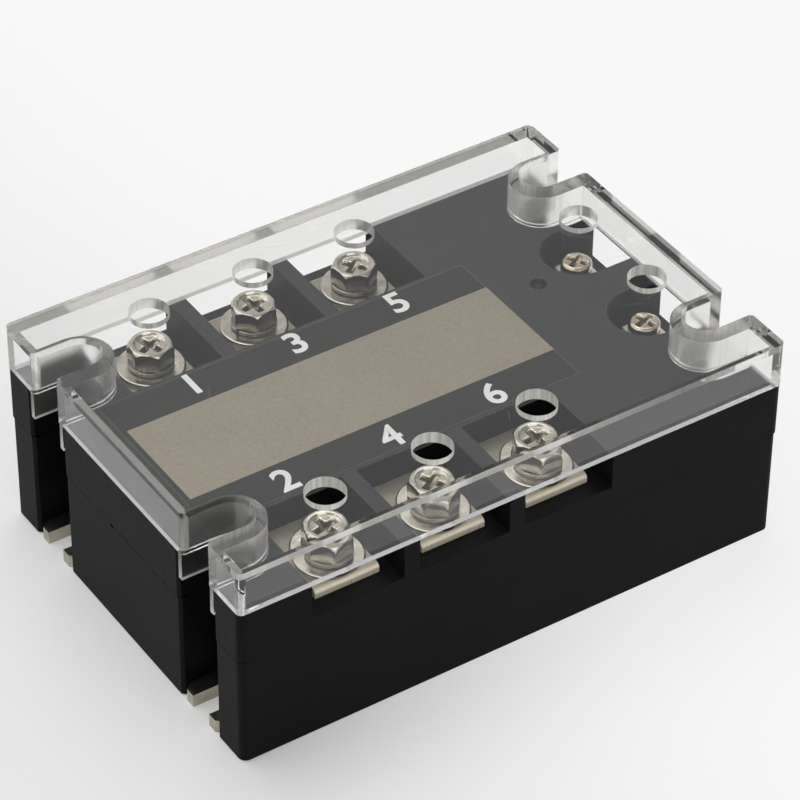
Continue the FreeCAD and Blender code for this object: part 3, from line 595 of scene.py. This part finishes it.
def dress_cad_nodes():
    """Gives each CAD node its material, and the shown ones softer edges."""
    for name, item in nodes.items():
        stem = name if name in CAD_MATERIALS else name.rsplit("_", 1)[0]
        if stem in CAD_MATERIALS:
            item.data.materials.clear()
            item.data.materials.append(CAD_MATERIALS[stem])
    for name, width in EASED_EDGES.items():
        ease(nodes[name], width)

    # The cover's edges are frosted, and a hair of air parts it from the case.
    cover = nodes["clear_cover"]
    cover.data.materials.append(CLEAR_EDGE)
    ease(cover, 0.2).material = 1
    skin = cover.modifiers.new("air_gap", "DISPLACE")
    skin.strength = -0.03 * MM
    skin.mid_level = 0.0


def ease(item, width):
    """Modifiers that merge flat facets, round the edges and smooth the curves."""
    flat = item.modifiers.new("merge_facets", "DECIMATE")
    flat.decimate_type = "DISSOLVE"
    flat.angle_limit = math.radians(1.0)
    bevel = item.modifiers.new("eased_edges", "BEVEL")
    bevel.width = width * MM
    bevel.segments = 2
    bevel.limit_method = "ANGLE"
    bevel.angle_limit = math.radians(40.0)
    bevel.harden_normals = True
    item.data.shade_smooth()
    return bevel


# --------------------------------------------------------------------- meshes


def build_mesh(name, build, material, smooth_angle):
    """A mesh with smooth faces, made by a function that fills a bmesh."""
    shape = bmesh.new()
    build(shape)
    bmesh.ops.recalc_face_normals(shape, faces=shape.faces)
    mesh = bpy.data.meshes.new(name)
    shape.to_mesh(mesh)
    shape.free()
    mesh.materials.append(material)
    mesh.shade_smooth()
    mesh.set_sharp_from_angle(angle=math.radians(smooth_angle))
    return mesh


def add_rings(shape, rings, close=True):
    """Joins rings of points into a skin, whose first and last rings may be filled."""
    loops = [[shape.verts.new(point) for point in ring] for ring in rings]
    count = len(loops[0])
    for lower, upper in zip(loops, loops[1:]):
        for i in range(count):
            j = (i + 1) % count
            shape.faces.new((lower[i], lower[j], upper[j], upper[i]))
    if close:
        shape.faces.new(reversed(loops[0]))
        shape.faces.new(loops[-1])


def ring(radius, z, count, centre=(0, 0)):
    """A ring of points; the radius may be a function of the angle, and z of x and y."""
    points = []
    for i in range(count):
        angle = math.tau * i / count
        reach = radius(angle) if callable(radius) else radius
        x = centre[0] + reach * math.cos(angle)
        y = centre[1] + reach * math.sin(angle)
        points.append((x, y, z(x, y) if callable(z) else z))
    return points


def smoothstep(low, high, value):
    t = min(max((value - low) / (high - low), 0.0), 1.0)
    return t * t * (3 - 2 * t)


def cross_depth(x, y, span, width, depth):
    """Depth of a cross recess with tapering wings at a point, all in metres.

    The recess is deepest at its middle and rises along the wings, which end in a step.
    """
    deepest = 0.0
    for along, across in ((abs(x), abs(y)), (abs(y), abs(x))):
        flank = 1 - smoothstep(width * 0.38, width * 0.6, across)
        floor = 1 - 0.62 * min(along / (span * 0.5), 1.0)
        end = 1 - smoothstep(span * 0.44, span * 0.52, along)
        deepest = max(deepest, flank * end * floor)
    return depth * deepest


def head_skin(shape, outline, top, crown, dish, recess, count=96):
    """A screw head on height 0: flank, crown, dished top and cross recess, as one skin.

    outline(angle) is the flank's radius, crown the radius where the top starts to
    round off, dish (radius, depth) and recess (span, width, depth).
    """
    dish_radius, dish_depth = dish
    widest = max(outline(math.tau * i / count) for i in range(count))
    rings = [ring(lambda angle: outline(angle) * 0.985, 0.0, count)]

    # Up the flank, and in to the crown over its rounded shoulder. Each ring is at a
    # part of the head's height, drawn in by a share of the way to the crown.
    shoulder = ((0.04, 0), (0.76, 0), (0.85, 0.25), (0.92, 0.5), (0.97, 0.78), (0.99, 0.93))
    for lift, share in shoulder:
        limit = widest + (crown - widest) * share
        rings.append(ring(lambda angle: min(outline(angle), limit), top * lift, count))

    def height(x, y):
        reach = math.hypot(x, y)
        sunk = dish_depth * (1 - smoothstep(dish_radius * 0.86, dish_radius, reach))
        return top - sunk - cross_depth(x, y, *recess)

    # Across the top to its middle.
    steps = 26
    for i in range(steps):
        radius = crown * (1 - i / steps)
        rings.append(ring(lambda angle: min(radius, outline(angle)), height, count))
    add_rings(shape, rings)


def threaded_shank(shape, radius, pitch, bottom, top):
    """A rod with a helical groove, tapered at its tip."""
    steps_per_turn = 8
    steps = int((top - bottom) / pitch * steps_per_turn)
    depth = pitch * 0.5
    rings = []
    for i in range(steps + 1):
        z = bottom + (top - bottom) * i / steps
        tip = 1 - 0.35 * (1 - smoothstep(0, pitch * 1.5, z - bottom))

        def reach(angle):
            phase = (z / pitch - angle / math.tau) % 1.0
            return (radius - depth * abs(2 * phase - 1)) * tip

        rings.append(ring(reach, z, 36))
    add_rings(shape, rings)


def hexagon_radius(apothem):
    def radius(angle):
        part = angle % (math.tau / 6) - math.tau / 12
        return apothem / math.cos(part)

    return radius


def lathe(shape, profile, gap=None, count=96):
    """A closed profile of (radius, z) turned about Z.

    A gap of (half its angle, rise) is cut at +X; the ring rises from one side of it
    to the other.
    """
    if gap is None:
        rings = [ring(radius, z, count) for radius, z in profile]
        add_rings(shape, rings + rings[:1], close=False)
        bmesh.ops.remove_doubles(shape, verts=shape.verts, dist=1e-7)
        return
    half, rise = gap
    sections = []
    for i in range(count + 1):
        angle = half + (math.tau - 2 * half) * i / count
        lift = rise * (i / count - 0.5)
        sections.append(
            [
                shape.verts.new((r * math.cos(angle), r * math.sin(angle), z + lift))
                for r, z in profile
            ]
        )
    size = len(profile)
    for here, there in zip(sections, sections[1:]):
        for i in range(size):
            j = (i + 1) % size
            shape.faces.new((here[i], here[j], there[j], there[i]))
    shape.faces.new(sections[0])
    shape.faces.new(reversed(sections[-1]))


# --------------------------------------------------------------------- pieces


def placed(mesh, name, body, at=(0, 0, 0), turn=0.0):
    """A piece with a mesh, placed and turned about Z, riding on a body."""
    piece = bpy.data.objects.new(name, mesh)
    piece.location = at
    piece.rotation_euler = (0, 0, turn)
    bpy.context.scene.collection.objects.link(piece)
    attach(piece, body)
    return piece


def middle(node):
    low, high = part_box(node)
    return (low + high) / 2


def terminal_screws():
    """M4 screws: hexagon heads with a dished top, cross recess and rolled thread."""
    low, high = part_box("terminal_screw_l1")
    washer_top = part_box("captive_washers_l1")[1].z

    def build(shape):
        head_skin(
            shape,
            outline=hexagon_radius(3.5 * MM),
            top=high.z - washer_top,
            crown=3.38 * MM,
            dish=(2.9 * MM, 0.45 * MM),
            recess=(4.7 * MM, 1.15 * MM, 1.3 * MM),
        )
        threaded_shank(
            shape, radius=1.95 * MM, pitch=0.7 * MM, bottom=low.z - washer_top, top=0.05 * MM
        )

    # Painted shade makes the line side's screw flanks darker than the load side's, for the black
    # bays they reflect.
    meshes = {
        "l": build_mesh("line_screw_mesh", build, FLANK_SHADED_NICKEL, 28.0),
        "t": build_mesh("load_screw_mesh", build, NICKEL, 28.0),
    }
    turns = {"l1": 0.35, "l2": 0.15, "l3": 0.62, "t1": 0.2, "t2": 0.5, "t3": 0.05}
    for ending in LOAD:
        at = middle(f"terminal_screw_{ending}")
        at.z = washer_top
        row = ending[0]
        screw = placed(meshes[row], f"screw_m4_{ending}", f"screw_{ending}", at, turns[ending])
        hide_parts(f"terminal_screw_{ending}")


def washers():
    """Flat washers with eased rims, and split lock washers above them."""
    low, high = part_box("captive_washers_l1")
    flat_top = 1.0 * MM
    inner = 2.15 * MM

    def flat(shape):
        outer = 5.85 * MM
        e = 0.12 * MM
        lathe(
            shape,
            [
                (inner, e),
                (inner + e, 0),
                (outer - 2 * e, 0),
                (outer - 0.4 * e, 0.5 * e),
                (outer, 2 * e),
                (outer, flat_top - 2.6 * e),
                (outer - 0.6 * e, flat_top - e),
                (outer - 2.4 * e, flat_top),
                (inner + e, flat_top),
                (inner, flat_top - e),
            ],
        )

    def lock(shape):
        outer = 3.95 * MM
        e = 0.14 * MM
        bottom = flat_top + e
        top = high.z - low.z - e
        lathe(
            shape,
            [
                (inner, bottom + e),
                (inner + e, bottom),
                (outer - e, bottom),
                (outer, bottom + e),
                (outer, top - e),
                (outer - e, top),
                (inner + e, top),
                (inner, top - e),
            ],
            gap=(0.09, 0.12 * MM),
        )

    flat_mesh = build_mesh("flat_washer_mesh", flat, WASHER, 18.0)
    lock_mesh = build_mesh("lock_washer_mesh", lock, SPRING, 18.0)
    for number, ending in enumerate(LOAD):
        at = middle(f"captive_washers_{ending}")
        at.z = low.z
        body = f"washers_{ending}"
        disc = placed(flat_mesh, f"flat_washer_{ending}", body, at, 0.7 * number)
        spring = placed(lock_mesh, f"lock_washer_{ending}", body, at, 2.1 + 1.3 * number)
        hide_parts(f"captive_washers_{ending}")


def control_screws():
    """M3 pan head screws with a cross recess."""
    low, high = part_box("control_screw_plus")
    clamp_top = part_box("control_clamp_plus")[1].z

    def build(shape):
        head_skin(
            shape,
            outline=lambda angle: 2.75 * MM,
            top=high.z - clamp_top,
            crown=2.15 * MM,
            dish=(0.1 * MM, 0.0),
            recess=(4.1 * MM, 0.95 * MM, 1.1 * MM),
            count=72,
        )
        threaded_shank(
            shape, radius=1.45 * MM, pitch=0.5 * MM, bottom=low.z - clamp_top, top=0.05 * MM
        )

    mesh = build_mesh("control_screw_mesh", build, YELLOWED, 40.0)
    for name, turn in zip(CONTROL, (0.5, 0.25)):
        at = middle(f"control_screw_{name}")
        at.z = clamp_top
        screw = placed(mesh, f"screw_m3_{name}", f"control_screw_{name}", at, turn)
        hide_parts(f"control_screw_{name}")


def status_lamp():
    """Tinted lamp with a domed lens and two square leads."""
    low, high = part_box("status_led")
    centre = middle("status_led")
    radius = (high.x - low.x) / 2
    dome = high.z - radius
    barrel_bottom = high.z - 4.3 * MM
    lead_offset = 0.635 * MM
    half = 0.25 * MM

    def build(shape):
        profile = [(radius, barrel_bottom), (radius, dome)]
        for i in range(1, 9):
            angle = math.pi / 2 * i / 9
            profile.append((radius * math.cos(angle), dome + radius * math.sin(angle)))
        xy = (centre.x, centre.y)
        add_rings(shape, [ring(r, z, 40, xy) for r, z in profile])
        corners = [(-half, -half), (half, -half), (half, half), (-half, half)]
        for side in (-1, 1):
            x = centre.x + side * lead_offset
            ends = (low.z, barrel_bottom)
            add_rings(shape, [[(x + a, centre.y + b, z) for a, b in corners] for z in ends])

    lamp = placed(build_mesh("lamp_lens", build, LENS, 50.0), "lamp_lens", "relay")
    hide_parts("status_led")


def printed_number(name, number, x, y):
    """A printed number lying on the label, in bold white ink. x and y are in metres."""
    curve = bpy.data.curves.new(name, "FONT")
    curve.body = str(number)
    curve.size = 7.4 * MM
    curve.align_x = "CENTER"
    curve.align_y = "CENTER"
    curve.extrude = 0.01 * MM
    curve.offset = 0.16 * MM
    curve.resolution_u = 8
    sketch = bpy.data.objects.new(name + "_sketch", curve)
    bpy.context.scene.collection.objects.link(sketch)
    bpy.context.view_layer.update()
    mesh = bpy.data.meshes.new_from_object(
        sketch.evaluated_get(bpy.context.evaluated_depsgraph_get())
    )
    bpy.data.objects.remove(sketch)
    mesh.materials.clear()
    mesh.materials.append(WHITE_INK)
    foil_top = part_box("rating_label")[1].z
    piece = placed(mesh, name, "relay", (x, y, foil_top + 0.012 * MM))


def label_numbers():
    """Terminal numbers beside the bays: odd on the line side, even on the load side."""
    for ending in LOAD:
        line_side = ending.startswith("l")
        number = 2 * int(ending[1]) - (1 if line_side else 0)
        x = middle(f"load_terminal_{ending}").x + 0.6 * MM
        y = (14.4 if line_side else -14.4) * MM
        printed_number(f"terminal_number_{ending}", number, x, y)


# ---------------------------------------------------------------------- stage

# The camera's angles are in degrees, its distance and aim in millimetres.
AZIMUTH, ELEVATION, ROLL = 33.61, 39.34, 0.52
DISTANCE = 667.5
AIM = (3.64, 3.61, 22.13)
FOCAL_LENGTH, SENSOR_WIDTH = 179.3, 36.0

# Square lamps: name, place and side in metres, and power in watts. They are large,
# so that their mirror images on the cover stay below white.
LAMPS = (
    ("key_softbox", (-0.62, 0.40, 0.85), 1.5, 6.2),
    ("top_softbox", (0.20, 0.45, 1.1), 0.85, 4.2),
    ("front_fill", (-0.15, -0.95, 0.38), 0.9, 3.0),
)
LAMP_AIM = (0, 0, 0.02)


def stage():
    """Floor, lamps, world and camera."""
    scene = bpy.context.scene
    add_floor(scene)
    world = bpy.data.worlds.new("studio")
    world.use_nodes = True
    scene.world = world
    studio_world(world.node_tree)
    for lamp in LAMPS:
        add_lamp(scene, *lamp)
    add_camera(scene)
    scene.view_settings.view_transform = "Standard"


def add_floor(scene):
    shape = bmesh.new()
    size = 6.0
    corners = [(-size, -size, 0), (size, -size, 0), (size, size, 0), (-size, size, 0)]
    shape.faces.new([shape.verts.new(point) for point in corners])
    mesh = bpy.data.meshes.new("floor")
    shape.to_mesh(mesh)
    shape.free()
    mesh.materials.append(floor_paper())
    floor = bpy.data.objects.new("floor", mesh)
    scene.collection.objects.link(floor)


def studio_world(tree):
    """Pale surroundings, dimmer towards the front; camera, metal and glass see more."""

    def add(kind, inputs, **settings):
        item = tree.nodes.new(kind)
        for key, setting in settings.items():
            setattr(item, key, setting)
        for key, source in inputs.items():
            if isinstance(source, bpy.types.NodeSocket):
                tree.links.new(source, item.inputs[key])
            else:
                item.inputs[key].default_value = source
        return item

    def math_node(operation, a, b):
        return add("ShaderNodeMath", {0: a, 1: b}, operation=operation).outputs["Value"]

    direction = add("ShaderNodeTexCoord", {}).outputs["Generated"]
    bright_side = (-0.5, 0.62, 0.6)
    towards = add(
        "ShaderNodeVectorMath", {0: direction, 1: bright_side}, operation="DOT_PRODUCT"
    ).outputs["Value"]
    glow = add("ShaderNodeMapRange", {"Value": towards, 1: -0.5, 2: 0.6, 3: 0.30, 4: 1.0})
    ray = add("ShaderNodeLightPath", {}).outputs
    seen = math_node("MAXIMUM", ray["Is Glossy Ray"], ray["Is Transmission Ray"])
    seen = math_node("MAXIMUM", seen, ray["Is Camera Ray"])
    level = add("ShaderNodeMapRange", {"Value": seen, 1: 0.0, 2: 1.0, 3: 0.42, 4: 0.56})
    strength = math_node("MULTIPLY", glow.outputs["Result"], level.outputs["Result"])
    background = tree.nodes["Background"]
    background.inputs["Color"].default_value = (0.98, 0.985, 1.0, 1.0)
    tree.links.new(strength, background.inputs["Strength"])


def add_lamp(scene, name, at, side, power):
    light = bpy.data.lights.new(name, "AREA")
    light.shape = "SQUARE"
    light.size = side
    light.energy = power
    item = bpy.data.objects.new(name, light)
    item.location = at
    towards = Vector(LAMP_AIM) - Vector(at)
    item.rotation_euler = towards.to_track_quat("-Z", "Y").to_euler()
    scene.collection.objects.link(item)


def add_camera(scene):
    """A camera that looks at the aim, turned a little about its own axis."""
    azimuth, elevation, roll = (math.radians(angle) for angle in (AZIMUTH, ELEVATION, ROLL))
    forward = Vector(
        (
            math.sin(azimuth) * math.cos(elevation),
            math.cos(azimuth) * math.cos(elevation),
            -math.sin(elevation),
        )
    )
    level = forward.cross(Vector((0, 0, 1))).normalized()
    up = level.cross(forward)
    right = level * math.cos(roll) + up * math.sin(roll)
    up = right.cross(forward)
    camera = bpy.data.objects.new("camera", bpy.data.cameras.new("camera"))
    camera.data.lens = FOCAL_LENGTH
    camera.data.sensor_width = SENSOR_WIDTH
    matrix = Matrix((right, up, -forward)).transposed().to_4x4()
    matrix.translation = Vector(AIM) * MM - forward * DISTANCE * MM
    camera.matrix_world = matrix
    scene.collection.objects.link(camera)
    scene.camera = camera


dress_cad_nodes()
terminal_screws()
washers()
control_screws()
status_lamp()
label_numbers()
stage()
